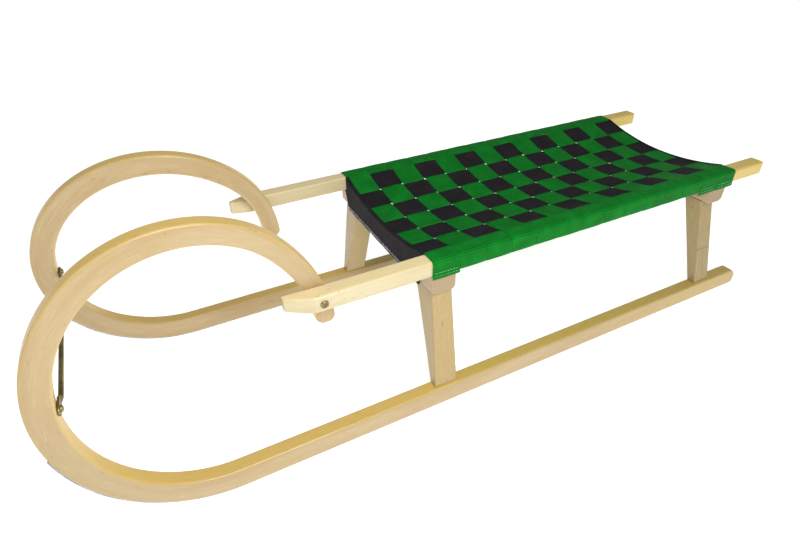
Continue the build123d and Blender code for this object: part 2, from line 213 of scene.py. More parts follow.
def bar(name, centre, across, through, half, radius, end_edge, shift, material, replaced):
    """A rounded rectangle carried along a path. At each station a point lies at the centre, plus its
    place across times one axis, plus its place through times the other; the ends are rounded and
    closed. Across times through points along the path. The wood's grain follows the path: the point
    attribute grain_place holds distance along, place across and place through."""
    count = len(centre)
    half = np.broadcast_to(half, (count, 2)).astype(float)
    radius = np.broadcast_to(radius, (count, 4)).astype(float)
    centre, half, radius = with_round_ends((centre, half, radius), end_edge)
    extra = (len(centre) - count) // 2
    across = np.broadcast_to(across, (count, 3)).astype(float)
    through = np.broadcast_to(through, (count, 3)).astype(float)
    across = np.concatenate([np.repeat(across[:1], extra, 0), across, np.repeat(across[-1:], extra, 0)])
    through = np.concatenate([np.repeat(through[:1], extra, 0), through, np.repeat(through[-1:], extra, 0)])

    corner, sign, direction, push = ring_template()
    reach = radius[:, corner][:, :, None]
    flat = np.clip(half.min(1) - radius.max(1), 1e-6, None)
    lip = np.minimum(FLAT_LIP, flat * 0.4)[:, None, None]
    place = sign * (half[:, None, :] - reach) + reach * direction + lip * push
    points = centre[:, None] + place[..., :1] * across[:, None] + place[..., 1:] * through[:, None]

    rings, size = points.shape[:2]
    step = np.linalg.norm(np.diff(centre, axis=0), axis=1)
    along = np.concatenate([[0.0], np.cumsum(step)])
    grain = np.concatenate([np.broadcast_to(along[:, None, None], (rings, size, 1)), place], 2)
    poles = centre[[0, -1]]
    pole_grain = np.array([[along[0], 0, 0], [along[-1], 0, 0]])
    outer_face = np.broadcast_to(direction[:, 1] ** 2, (rings, size)).ravel()
    end_grain = np.zeros((rings, size))
    end_grain[:2] = 1.0
    end_grain[-2:] = 1.0
    end_grain[2] = end_grain[-3] = 0.5

    index = np.arange(rings * size).reshape(rings, size)
    after = np.roll(index, -1, axis=1)
    quads = np.stack([index[:-1], after[:-1], after[1:], index[1:]], -1).reshape(-1, 4)
    first = np.stack([np.full(size, rings * size), after[0], index[0]], -1)
    last = np.stack([np.full(size, rings * size + 1), index[-1], after[-1]], -1)
    return finished(
        name,
        np.concatenate([points.reshape(-1, 3), poles]),
        quads.tolist() + first.tolist() + last.tolist(),
        {
            "grain_place": np.concatenate([grain.reshape(-1, 3), pole_grain]) + np.asarray(shift),
            "end_grain": np.concatenate([end_grain.ravel(), [1.0, 1.0]]),
            "outer_face": np.concatenate([outer_face, [0.5, 0.5]]),
        },
        material,
        replaced,
    )


def cloth(name, middle, up, thickness, place, material, replaced):
    """A closed sheet: a grid of points, moved half the thickness each way along their normals, with a
    rim round its border. The point attribute weave_place holds distance along and across."""
    rows, columns = middle.shape[:2]
    offset = up * (thickness / 2)[..., None]
    points = np.concatenate([(middle + offset).reshape(-1, 3), (middle - offset).reshape(-1, 3)])
    index = np.arange(rows * columns).reshape(rows, columns)
    top = np.stack([index[:-1, :-1], index[1:, :-1], index[1:, 1:], index[:-1, 1:]], -1).reshape(-1, 4)
    border = np.concatenate([index[:, 0], index[-1, 1:], index[-2::-1, -1], index[0, -2:0:-1]])
    here = (rows // 2, columns // 2)
    along = middle[here[0] + 1, here[1]] - middle[here]
    sideways = middle[here[0], here[1] + 1] - middle[here]
    if np.dot(np.cross(along, sideways), up[here]) < 0:
        top = top[:, ::-1]
        border = border[::-1]
    under = top[:, ::-1] + rows * columns
    following = np.roll(border, -1)
    rim = np.stack([border, border + rows * columns, following + rows * columns, following], -1)
    weave = np.concatenate([place, np.zeros((rows, columns, 1))], 2).reshape(-1, 3)
    return finished(
        name,
        points,
        np.concatenate([top, under, rim]).tolist(),
        {"weave_place": np.concatenate([weave, weave])},
        material,
        replaced,
    )


def stitching(name, starts, ends, lift, radius, material):
    """Short stitches of thread. Each goes from its start to its end, lifted by half a sine wave, as a
    tube whose radius is the thread's times the fifth root of that wave."""
    steps = np.linspace(0.03, 0.97, 6)
    wave = np.sin(np.pi * steps)
    centre = starts[:, None] + (ends - starts)[:, None] * steps[:, None] + lift[:, None] * wave[:, None]
    along = unit(ends - starts)
    across = unit(np.cross(along, lift))
    turn = np.radians(np.arange(0, 360, 60))
    around = (
        np.cos(turn)[:, None] * across[:, None] + np.sin(turn)[:, None] * unit(lift)[:, None]
    )
    points = centre[:, :, None] + (radius * wave**0.2)[:, None, None] * around[:, None]
    count, rings, size = points.shape[:3]
    index = np.arange(count * rings * size).reshape(count, rings, size)
    after = np.roll(index, -1, axis=2)
    quads = np.stack([index[:, :-1], index[:, 1:], after[:, 1:], after[:, :-1]], -1).reshape(-1, 4)
    if np.dot(np.cross(along[0], across[0]), lift[0]) > 0:
        quads = quads[:, ::-1]
        caps = index[:, 0][:, ::-1].tolist() + index[:, -1].tolist()
    else:
        caps = index[:, 0].tolist() + index[:, -1][:, ::-1].tolist()
    return finished(name, points, quads.tolist() + caps, {}, material, [])


# ---------------------------------------------------------------- materials
class Wire:
    """A node's output, so that arithmetic on it adds Math nodes."""

    def __init__(self, shader, socket):
        self.shader = shader
        self.socket = socket

    def __add__(self, other):
        return self.shader.math("ADD", self, other)

    def __sub__(self, other):
        return self.shader.math("SUBTRACT", self, other)

    def __rsub__(self, other):
        return self.shader.math("SUBTRACT", other, self)

    def __mul__(self, other):
        return self.shader.math("MULTIPLY", self, other)

    def __truediv__(self, other):
        return self.shader.math("DIVIDE", self, other)

    def __rtruediv__(self, other):
        return self.shader.math("DIVIDE", other, self)

    def __pow__(self, other):
        return self.shader.math("POWER", self, other)

    __radd__ = __add__
    __rmul__ = __mul__


class Shader:
    """A material being made from nodes."""

    def __init__(self, name):
        self.material = bpy.data.materials.new(name)
        self.material.use_nodes = True
        self.tree = self.material.node_tree
        self.tree.nodes.clear()

    def node(self, kind, settings, sockets, out=0):
        """Adds a node: its settings first, then its sockets' values or links."""
        made = self.tree.nodes.new(kind)
        for key, value in settings.items():
            setattr(made, key, value)
        for key, value in sockets.items():
            if isinstance(value, Wire):
                self.tree.links.new(value.socket, made.inputs[key])
            else:
                made.inputs[key].default_value = value
        return Wire(self, made.outputs[out]) if made.outputs else made

    def attribute(self, name, out):
        """The value that a point attribute has here."""
        return self.node("ShaderNodeAttribute", {"attribute_name": name}, {}, out)

    def math(self, operation, first, second=0.0):
        """One operation on two values."""
        return self.node("ShaderNodeMath", {"operation": operation}, {0: first, 1: second})

    def parts(self, vector):
        """The three numbers of a vector."""
        first = self.node("ShaderNodeSeparateXYZ", {}, {0: vector})
        return [Wire(self, output) for output in first.socket.node.outputs]

    def stretched(self, vector, sizes):
        """A place times the sizes, axis by axis."""
        return self.node("ShaderNodeVectorMath", {"operation": "MULTIPLY"}, {0: vector, 1: sizes})

    def noise(self, vector, sizes, detail=2.0, roughness=0.5):
        """Noise that is one over the size long on each axis."""
        sockets = {"Vector": self.stretched(vector, sizes), "Scale": 1.0}
        sockets.update({"Detail": detail, "Roughness": roughness})
        return self.node("ShaderNodeTexNoise", {}, sockets)

    def step(self, value, low, high):
        """0 below low, 1 above high, and smooth between."""
        sockets = {"Value": value, "From Min": low, "From Max": high}
        return self.node("ShaderNodeMapRange", {"interpolation_type": "SMOOTHSTEP"}, sockets)

    def mix(self, factor, first, second):
        """Between two colours."""
        return self.node("ShaderNodeMix", {"data_type": "RGBA"}, {0: factor, 6: first, 7: second}, 2)

    def bump(self, height, distance, strength=1.0):
        """A normal that tilts with the slope of the height times the distance."""
        sockets = {"Height": height, "Distance": distance, "Strength": strength}
        return self.node("ShaderNodeBump", {}, sockets)

    def finish(self, **sockets):
        """Ends in a Principled BSDF with these sockets, whose names have _ for a space."""
        named = {key.replace("_", " "): value for key, value in sockets.items()}
        shader = self.node("ShaderNodeBsdfPrincipled", {}, named)
        self.node("ShaderNodeOutputMaterial", {}, {"Surface": shader})
        return self.material


def colour(red, green, blue):
    """A display colour out of 255, as a linear one with full alpha."""
    shown = np.array([red, green, blue]) / 255
    linear = np.where(shown > 0.04045, ((shown + 0.055) / 1.055) ** 2.4, shown / 12.92)
    return (*linear.tolist(), 1.0)


BARE_ENDS = (colour(160, 136, 100), colour(130, 104, 70))
# Painted shade: the legs' ends are darkened where the crossbars overhang them and where they meet the
# runners.
JOINT_SHADE_ENDS = (colour(112, 84, 52), colour(80, 58, 36))
CRESCENT_HALF = (0.0011, 0.0045)


def beech(name, pale, warm, outer_face_shading, rear_shade, end_grain_and_joint_shade=BARE_ENDS, mark=None):
    """Varnished beech: broad drifts of tone, growth rings about a pith below the board, fine streaks,
    the faint short flecks of the wood's rays, a few dark specks, and darker pored ends. Painted light
    and shade: the outer faces take a yellower tint that the lighting gave them, the wood turns a
    deeper yellow-tan towards the rear, away from the key light, and the joints' end tones on the legs
    are painted shade where they meet the crossbars and the runners. A mark, given as a distance
    along, draws a dark patch line across the outer face there, its edge below it, and a small dark
    crescent on the front face a given way above."""
    wood = Shader(name)
    place = wood.attribute("grain_place", "Vector")
    ends = wood.attribute("end_grain", "Fac")
    outer = wood.attribute("outer_face", "Fac")
    along, across, through = wood.parts(place)
    backwards = wood.parts(wood.node("ShaderNodeTexCoord", {}, {}, "Object"))[0]

    drift = wood.noise(place, (5, 45, 45), 3.0)
    sway = wood.noise(place, (7, 20, 20), 1.0)
    ring_place = ((across + 0.041) ** 2 + (through + 0.063) ** 2) ** 0.5 + sway * 0.006
    ring = wood.math("FRACT", ring_place / 0.0031)
    late_wood = wood.step(ring, 0.45, 0.95) * (1 - wood.step(ring, 0.95, 1.0))
    streak = wood.noise(place, (40, 700, 700), 2.0)

    body = wood.mix(wood.step(drift, 0.3, 0.7), pale, warm)
    # painted light and shade: the outer faces take the yellower tint that the lighting gives them
    body = wood.mix(outer * 0.9, body, outer_face_shading)
    # painted shade: towards the rear, away from the key light, the wood turns a deeper yellow-tan
    body = wood.mix(wood.step(backwards, 0.1, 0.62) * 0.85, body, rear_shade)
    body = wood.mix(late_wood * 0.07, body, colour(176, 130, 74))
    body = wood.mix(wood.step(streak, 0.5, 0.8) * 0.12, body, colour(172, 128, 78))
    body = wood.mix(wood.step(streak, 0.5, 0.2) * 0.14, body, colour(250, 236, 204))

    cells = wood.node(
        "ShaderNodeTexVoronoi",
        {"feature": "F1"},
        {"Vector": wood.stretched(place, (260, 1500, 1500)), "Scale": 1.0},
        "Distance",
    )
    patches = wood.noise(place, (30, 150, 150), 1.0)
    fleck = (1 - wood.step(cells, 0.14, 0.3)) * wood.step(patches, 0.45, 0.6)
    body = wood.mix(fleck * 0.13, body, colour(150, 100, 54))
    rare = wood.step(wood.noise(place, (11, 60, 60), 0.0), 0.55, 0.62)
    specks = wood.step(wood.noise(place, (110, 560, 560), 0.0), 0.77, 0.82) * rare
    body = wood.mix(specks * 0.6, body, colour(104, 70, 42))
    if mark:
        line_place, edge_place, crescent_rise, crescent_place = mark
        line = 1 - wood.step(wood.math("ABSOLUTE", along - line_place), 0.0003, 0.001)
        edge = 1 - wood.step(wood.math("ABSOLUTE", across - edge_place), 0.0002, 0.0006)
        edge = edge * (1 - wood.step(along, line_place - 0.001, line_place)) * 0.6
        body = wood.mix((line * 0.85 + edge) * outer, body, colour(92, 62, 26))
        above = (along - line_place - crescent_rise) / CRESCENT_HALF[0]
        beside = (through - crescent_place) / CRESCENT_HALF[1]
        crescent = 1 - wood.step((above**2 + beside**2) ** 0.5, 0.5, 1.0)
        body = wood.mix(crescent * (1 - outer) * 0.7, body, colour(84, 66, 50))
    pores = wood.noise(place, (300, 1500, 1500), 1.0)
    end_tone = wood.mix(wood.step(pores, 0.45, 0.7) * 0.5, *end_grain_and_joint_shade)
    # real darker end grain, and on the legs also painted shade at the joints with the crossbars and runners
    body = wood.mix(ends * 0.6, body, end_tone)

    relief = streak * 0.6 - fleck * 0.3 - late_wood * 0.2
    return wood.finish(
        Base_Color=body,
        Roughness=0.38 + streak * 0.12 + ends * 0.15,
        Normal=wood.bump(relief, 0.00012),
        Coat_Weight=0.35,
        Coat_Roughness=0.2,
    )


def webbing(name, face, hollow_shade, edge, rib_pitch, gloss):
    """Woven strap: ribs of weft across the strap, crossed by finer lines of warp that shift by half a
    rib from one to the next, with painted shade that darkens it between the ribs' crests."""
    strap = Shader(name)
    place = strap.attribute("weave_place", "Vector")
    along, across = strap.parts(place)[:2]

    warp_pitch = 0.0011
    warp = strap.math("SINE", across * (math.pi / warp_pitch))
    shift = strap.step(warp, -0.15, 0.15) * (rib_pitch / 4)
    rib_wave = strap.math("SINE", (along + shift) * (2 * math.pi / rib_pitch))
    rib = rib_wave * 0.5 + 0.5
    ridge = strap.math("ABSOLUTE", warp) ** 0.5
    height = rib * 0.65 + ridge * 0.35

    wear = strap.noise(place, (38, 38, 38), 3.0)
    slub = strap.noise(place, (110, 900, 110), 1.0)
    # painted shade: the strap darkens between the ribs, in the weave's hollows
    body = strap.mix(strap.step(height, 0.25, 0.85), hollow_shade, face)
    body = strap.mix(strap.step(wear, 0.35, 0.75) * 0.35, body, edge)
    body = strap.mix(strap.step(slub, 0.62, 0.78) * 0.35, body, edge)
    return strap.finish(
        Base_Color=body,
        Roughness=gloss + 0.12 * slub,
        Normal=strap.bump(height, 0.0006),
        Specular_IOR_Level=0.1,
    )


def steel(name, bright, dull, rough, stain):
    """Metal with a drifting tone, fine scratches and small stains, read from its place."""
    metal = Shader(name)
    place = metal.node("ShaderNodeTexCoord", {}, {}, "Object")
    drift = metal.noise(place, (60, 60, 60), 3.0)
    scratch = metal.noise(place, (900, 200, 900), 2.0)
    stains = metal.step(metal.noise(place, (170, 170, 170), 2.0), 0.58, 0.72)
    body = metal.mix(metal.step(drift, 0.3, 0.7), bright, dull)
    body = metal.mix(stains * 0.5, body, stain)
    return metal.finish(
        Base_Color=body,
        Metallic=1.0 - stains * 0.45,
        Roughness=rough + scratch * 0.18 + stains * 0.2,
        Normal=metal.bump(scratch, 0.00008),
    )


def thread(name, pale, dark):
    """Sewing thread with a slight change of tone from stitch to stitch."""
    yarn = Shader(name)
    place = yarn.node("ShaderNodeTexCoord", {}, {}, "Object")
    tone = yarn.noise(place, (160, 160, 160), 1.0)
    twist = yarn.noise(place, (1900, 1900, 1900), 0.0)
    return yarn.finish(
        Base_Color=yarn.mix(yarn.step(tone, 0.35, 0.65), pale, dark),
        Roughness=0.6 + twist * 0.15,
        Normal=yarn.bump(twist, 0.0001),
    )


# For each wood, the fourth colour is the painted light and shade tint of the outer faces, and the fifth the
# painted shade towards the rear.
runner_wood = beech(
    "beech_runner", colour(187, 164, 120), colour(178, 151, 103), colour(222, 188, 98), colour(194, 165, 82)
)
rail_wood = beech(
    "beech_rail", colour(206, 194, 156), colour(200, 184, 140), colour(238, 217, 162), colour(222, 190, 76)
)
leg_wood = beech(
    "beech_leg",
    colour(178, 155, 102),
    colour(170, 145, 90),
    colour(176, 151, 96),
    colour(164, 142, 88),
    JOINT_SHADE_ENDS,
)
marked_leg_wood = beech(
    "beech_marked_leg",
    colour(158, 140, 102),
    colour(150, 130, 90),
    colour(178, 152, 88),
    colour(158, 136, 82),
    JOINT_SHADE_ENDS,
    (LEG_GRAIN_START + 2 * LEG_GRAIN_STEP + MARK_HEIGHT, 0.012, 0.082, 0.003),
)
bar_wood = beech(
    "beech_bar", colour(182, 160, 128), colour(170, 147, 112), colour(174, 149, 114), colour(166, 142, 104)
)
# The second colour of each strap is the painted shade between its ribs.
green_webbing = webbing(
    "green_webbing", colour(0, 138, 34), colour(0, 74, 16), colour(6, 156, 46), 0.0026, 0.5
)
black_webbing = webbing(
    "black_webbing", colour(40, 36, 41), colour(18, 16, 20), colour(54, 49, 56), 0.0023, 0.6
)
sole_steel = steel("sole_steel", colour(176, 178, 182), colour(140, 142, 148), 0.28, colour(112, 86, 64))
rod_steel = steel("rod_steel", colour(150, 142, 96), colour(112, 98, 62), 0.36, colour(92, 64, 40))
screw_steel = steel("screw_steel", colour(176, 156, 110), colour(124, 106, 74), 0.3, colour(60, 48, 38))
pale_thread = thread("pale_thread", colour(196, 194, 200), colour(128, 126, 134))
green_thread = thread("green_thread", colour(150, 214, 160), colour(70, 172, 96))


# ---------------------------------------------------------------- wood
Y_AXIS = np.array([0.0, 1.0, 0.0])


def thickness_at(angle):
    """The runner's thickness, which lessens evenly with the angle, from the ground to the tip."""
    return RUNNER_THICKNESS - (RUNNER_THICKNESS - HORN_TIP_THICKNESS) * angle / BEND_TURN


def lean_at(angle):
    """The runner's distance from the sled's middle: in on one cosine wave, and back out on another."""
    first = (1 - np.cos(np.pi * angle / LEAN_IN_TURN)) / 2
    turn = np.clip((angle - LEAN_IN_TURN) / (LEAN_BACK_TURN - LEAN_IN_TURN), 0, 1)
    second = (1 - np.cos(np.pi * turn)) / 2
    inwards = TRACK_Y + (NARROW_Y - TRACK_Y) * first
    back = NARROW_Y + (HORN_TIP_Y - NARROW_Y) * second
    return np.where(angle <= LEAN_IN_TURN, inwards, back)


def outward_at(angle):
    """The direction from the bend's centre, down at 0 degrees and forward at 90: less the sine of the
    angle along X, and less its cosine along Z."""
    turn = np.radians(angle)
    return np.stack([-np.sin(turn), np.zeros_like(turn), -np.cos(turn)], -1)


LOW_STEP = LOW_BEND - HIGH_BEND
HIGH_CENTRE_X = -REAR_X + HIGH_BEND + thickness_at(90) / 2
BEND_START_X = HIGH_CENTRE_X + LOW_STEP * math.sin(math.radians(LOW_BEND_TURN))
LOW_CENTRE_Z = RUNNER_FLOOR + RUNNER_THICKNESS / 2 + LOW_BEND
HIGH_CENTRE_Z = LOW_CENTRE_Z - LOW_STEP * math.cos(math.radians(LOW_BEND_TURN))


def bend_point(angle, side, offset=0.0):
    """A point of the runner's middle line in the bend: the arc's centre, plus its radius and the offset
    times the outward direction. A wide arc comes first, and a narrower one that touches it follows."""
    low = angle <= LOW_BEND_TURN
    centre_x = np.where(low, BEND_START_X, HIGH_CENTRE_X)
    centre_z = np.where(low, LOW_CENTRE_Z, HIGH_CENTRE_Z)
    reach = np.where(low, LOW_BEND, HIGH_BEND) + offset
    return np.stack([centre_x, side * lean_at(angle), centre_z], -1) + outward_at(angle) * reach[..., None]


def bent_runner(side_name, side):
    """A runner: from its heel, whose top is rounded, along the ground and round the bend to its tip.
    Rounded ends lose height by the radius times one less the sine, where the distance from the end is
    the radius times one less the cosine."""
    face_turn = 22.0
    heel = np.radians(np.linspace(face_turn, 90, 10))
    heel_x = REAR_X - HEEL_RADIUS * (1 - np.cos(heel))
    heel_x[0] = REAR_X
    heel_loss = HEEL_RADIUS * (1 - np.sin(heel))
    level_x = np.linspace(heel_x[-1], BEND_START_X, 26)[1:-1]
    straight_x = np.concatenate([heel_x, level_x])
    loss = np.concatenate([heel_loss, np.zeros(len(level_x))])
    middle_z = RUNNER_FLOOR + RUNNER_THICKNESS / 2
    straight = np.stack(
        [straight_x, np.full_like(straight_x, side * TRACK_Y), middle_z - loss / 2], -1
    )
    tip = np.radians(np.linspace(90, face_turn, 9))
    tip_reach = HORN_TIP_RADIUS * (1 - np.cos(tip))
    tip_reach[-1] = 0.0
    tip_loss = HORN_TIP_RADIUS * (1 - np.sin(tip))
    tip_angle = BEND_TURN - np.degrees(tip_reach / HIGH_BEND)
    swept = np.linspace(0, tip_angle[0], 150)
    angle = np.concatenate([swept, tip_angle[1:]])
    angle_loss = np.concatenate([np.zeros(len(swept)), tip_loss[1:]])
    centre = np.concatenate([straight, bend_point(angle, side)])
    half_height = np.concatenate([(RUNNER_THICKNESS - loss) / 2, thickness_at(angle) / 2 - angle_loss])
    half = np.stack([np.full_like(half_height, RUNNER_WIDTH / 2), half_height], -1)
    outward = np.concatenate([np.tile([0.0, 0.0, -1.0], (len(straight), 1)), outward_at(angle)])
    end_edge = HEEL_RADIUS * (1 - math.cos(math.radians(face_turn)))
    return bar(
        "bent_runner_" + side_name,
        centre,
        Y_AXIS,
        outward,
        half,
        RUNNER_EDGE,
        min(end_edge, 0.0006),
        (1.3 if side > 0 else 4.1, 0.004 * side, 0.0),
        runner_wood,
        ["runner_" + side_name],
    )


def rail(side_name, side):
    """A seat rail: an even bar whose front tip narrows on its outer side and rises underneath, both
    along straight lines. Each crease is eased: the distance left to it, plus the root of that
    distance squared and the crease squared, halved, takes the distance's place."""
    tip = np.array([0.0, 0.004, 0.009, 0.014, 0.019, 0.0235, 0.0265, RAIL_TIP_RISE_LENGTH])
    bend = np.array([0.0295, 0.0325, 0.0345, 0.036, RAIL_TIP_LENGTH, 0.0382, 0.041, 0.05])
    x = RAIL_FRONT + np.concatenate([tip, bend])
    x = np.concatenate([x, np.linspace(RAIL_FRONT + 0.07, REAR_X - 0.002, 30), [REAR_X]])[::-1]
    reach = x - RAIL_FRONT
    left_out = RAIL_TIP_LENGTH - reach
    cut = RAIL_TIP_CUT / RAIL_TIP_LENGTH * (left_out + np.sqrt(left_out**2 + RAIL_CREASE**2)) / 2
    left_out = RAIL_TIP_RISE_LENGTH - reach
    rise = RAIL_TIP_RISE / RAIL_TIP_RISE_LENGTH * (left_out + np.sqrt(left_out**2 + RAIL_CREASE**2)) / 2
    outer = RAIL_OUTER - cut
    bottom = RAIL_BOTTOM + rise
    centre = np.stack([x, side * (RAIL_INNER + outer) / 2, (bottom + RAIL_TOP) / 2], -1)
    half = np.stack([(outer - RAIL_INNER) / 2, (RAIL_TOP - bottom) / 2], -1)
    taper = np.clip(reach / RAIL_TIP_LENGTH, 0, 1)
    radius = (RAIL_TIP_EDGE + (RAIL_EDGE - RAIL_TIP_EDGE) * taper)[:, None] * np.ones(4)
    return bar(
        "rail_" + side_name,
        centre,
        Y_AXIS,
        (0.0, 0.0, -1.0),
        half,
        radius,
        0.0015,
        (7.7 if side > 0 else 9.2, 0.003 * side, 0.01),
        rail_wood,
        ["seat_rail_" + side_name],
    )


def crossbar(end):
    """A bar straight across the sled: one section all along, with small radii at its two upper edges
    and large ones at the lower two."""
    low, high = bar_boxes[end]
    y = np.concatenate([[low.y], np.linspace(low.y + 0.003, high.y - 0.003, 24), [high.y]])
    centre = np.stack([np.full_like(y, (low.x + high.x) / 2), y, np.full_like(y, (low.z + high.z) / 2)], -1)
    radius = np.array([BAR_UPPER_EDGE, BAR_LOWER_EDGE, BAR_LOWER_EDGE, BAR_UPPER_EDGE])
    return bar(
        "bar_" + end,
        centre,
        (0.0, 0.0, 1.0),
        (1.0, 0.0, 0.0),
        ((high.z - low.z) / 2, (high.x - low.x) / 2),
        radius,
        0.001,
        (12.1 if end == "front" else 14.6, 0.0, 0.004),
        bar_wood,
        ["crossbar_" + end],
    )


def leg(end, side_name, side):
    """A splayed leg: its section goes evenly from the foot's to the wider top's."""
    front = bar_boxes[end][0].x
    share = np.concatenate([[0.0], np.linspace(0.01, 0.99, 24), [1.0]])
    z = RUNNER_TOP + (BAR_BOTTOM - RUNNER_TOP) * share
    x_front = front + LEG_FOOT_SETBACKS[end] + (LEG_TOP_SETBACK - LEG_FOOT_SETBACKS[end]) * share
    depth = LEG_FOOT_DEPTH + (LEG_TOP_DEPTH - LEG_FOOT_DEPTH) * share
    middle_y = LEG_FOOT_Y + (LEG_TOP_Y - LEG_FOOT_Y) * share
    width = LEG_FOOT_WIDTH + (LEG_TOP_WIDTHS[end] - LEG_FOOT_WIDTH) * share
    centre = np.stack([x_front + depth / 2, side * middle_y, z], -1)
    radius = np.full(4, LEG_EDGE)
    radius[0 if side > 0 else 3] = LEG_REAR_EDGE
    order = ["front", "rear"].index(end) * 2 + (side > 0)
    return bar(
        "splayed_leg_" + end + "_" + side_name,
        centre,
        (1.0, 0.0, 0.0),
        Y_AXIS,
        np.stack([depth / 2, width / 2], -1),
        radius,
        LEG_JOINT_EDGE,
        (LEG_GRAIN_START + LEG_GRAIN_STEP * order, 0.006 * order, 0.003),
        marked_leg_wood if (end, side_name) == MARKED_LEG else leg_wood,
        ["leg_" + end + "_" + side_name],
    )


def tie_rod():
    """A round rod between the horns whose ends are pressed into flat tabs with half-round tips. Its half
    height and half thickness go from the rod's radius to the tab's along an eased step, and at a tip
    the half height is the tab's times the sine of the turn round it."""
    angle = np.array([TIE_TURN])
    lean = float(lean_at(angle)[0])
    concave = -thickness_at(TIE_TURN) / 2
    outward = outward_at(angle)[0]
    tab_end = lean + RUNNER_WIDTH / 2 - TIE_TAB_SHIFT
    tab_start = lean - RUNNER_WIDTH / 2 - TIE_TAB_SHIFT
    turn = np.radians(np.linspace(14, 90, 8))
    tip_y = tab_end - TIE_TAB[0] * (1 - np.cos(turn))
    tip_y[0] = tab_end
    neck = np.linspace(tab_start + 0.0005, tab_start - TIE_NECK - 0.0005, 12)
    y = np.concatenate([tip_y, neck, np.linspace(tab_start - 0.03, 0.0, 8)[:-1]])
    pressed = eased((y - (tab_start - TIE_NECK)) / TIE_NECK)
    high = TIE_RADIUS + (TIE_TAB[0] - TIE_RADIUS) * pressed
    high[: len(turn)] = TIE_TAB[0] * np.sin(turn)
    thin = TIE_RADIUS + (TIE_TAB[1] - TIE_RADIUS) * pressed
    half = np.stack([high, thin], -1)
    y = np.concatenate([-y, [0.0], y[::-1]])
    half = np.concatenate([half, [[TIE_RADIUS, TIE_RADIUS]], half[::-1]])
    base = bend_point(angle, 1.0)[0]
    offset = concave - TIE_CLEARANCE - half[:, 1]
    centre = np.stack([np.full_like(y, base[0]), y, np.full_like(y, base[2])], -1)
    centre = centre + outward * offset[:, None]
    return bar(
        "horn_tie_rod",
        centre,
        np.cross(outward, Y_AXIS),
        outward,
        half,
        (half.min(1) * 0.97)[:, None] * np.ones(4),
        0.0003,
        (0.0, 0.0, 0.0),
        rod_steel,
        ["tie_rod"],
    )


# ---------------------------------------------------------------- seat
SAG_RUN = RAIL_INNER + RAIL_EDGE
SAG_TURN = 2 * math.atan((RAIL_TOP + 0.0014 - SAG_TOP) / SAG_RUN)
SAG_RADIUS = SAG_RUN / math.sin(SAG_TURN) - RAIL_EDGE
SAG_FLOOR = RAIL_TOP - RAIL_EDGE + (RAIL_EDGE + SAG_RADIUS) * math.cos(SAG_TURN) - SAG_RADIUS
SAG_LENGTH = SAG_RADIUS * SAG_TURN
QUARTER = math.pi / 2
FLAT_TOP = RAIL_OUTER - RAIL_INNER - 2 * RAIL_EDGE
FACE_DROP = RAIL_TOP - RAIL_BOTTOM - 2 * RAIL_EDGE
ROUND_RAIL = (
    (SAG_LENGTH, SAG_TURN),
    (RAIL_EDGE * SAG_TURN, -SAG_TURN),
    (FLAT_TOP, 0.0),
    (RAIL_EDGE * QUARTER, -QUARTER),
)
LOOPED = ROUND_RAIL + (
    (FACE_DROP, 0.0),
    (RAIL_EDGE * QUARTER, -QUARTER),
    (FLAT_TOP, 0.0),
    (RAIL_EDGE * QUARTER, -QUARTER),
    (LOOP_END - RAIL_BOTTOM - RAIL_EDGE, 0.0),
)
OPEN = ROUND_RAIL + ((RAIL_TOP - RAIL_EDGE - OPEN_END, 0.0),)


def seat_place(lateral, route):
    """The Y and Z of a point at a distance from the seat's middle, along a route of straight runs and
    arcs, each a length and a turn, with its normal. A chord of an arc of length s that turns by t is
    s times the sine of half t over half t, along the heading plus half t."""
    distance = np.abs(lateral)
    y = np.zeros_like(distance)
    z = np.full_like(distance, SAG_FLOOR)
    heading = np.zeros_like(distance)
    for length, turn in route:
        part = np.clip(distance, 0, length)
        turned = turn * part / length
        chord = part * np.sinc(turned / 2 / np.pi)
        y = y + chord * np.cos(heading + turned / 2)
        z = z + chord * np.sin(heading + turned / 2)
        heading = heading + turned
        distance = distance - part
    side = np.sign(lateral)
    return y * side, z, -np.sin(heading) * side, np.cos(heading)


def on_seat(x, lateral, gap, route):
    """Points and normals of the seat at x, at a distance sideways, and a gap above the rails."""
    y, z, normal_y, normal_z = seat_place(lateral, route)
    points = np.stack([x, y + gap * normal_y, z + gap * normal_z], -1)
    return points, np.stack([np.zeros_like(y), normal_y, normal_z], -1)


def weave_wave(place, sign):
    """Over and under: the hyperbolic tangent of a steep cosine, nearly flat on each square."""
    steep = 9.0
    return sign * np.tanh(steep * np.cos(np.pi * (place - 0.5))) / math.tanh(steep)


def weave_steps(squares, samples=18):
    """Places along the weave in squares, drawn together where a strap passes from over to under: even
    ones, less a part of the sine of a whole turn for each square."""
    even = np.linspace(0, squares, squares * samples + 1)
    return even - 0.85 * np.sin(2 * np.pi * even) / (2 * np.pi)


def strap_section():
    """Places across a strap from -1 to 1, with its share of the full thickness at each: the root of
    one less nine tenths of the place's eighth power."""
    place = np.sin(np.linspace(-QUARTER, QUARTER, 15))
    return place, np.sqrt(1 - 0.9 * place**8)


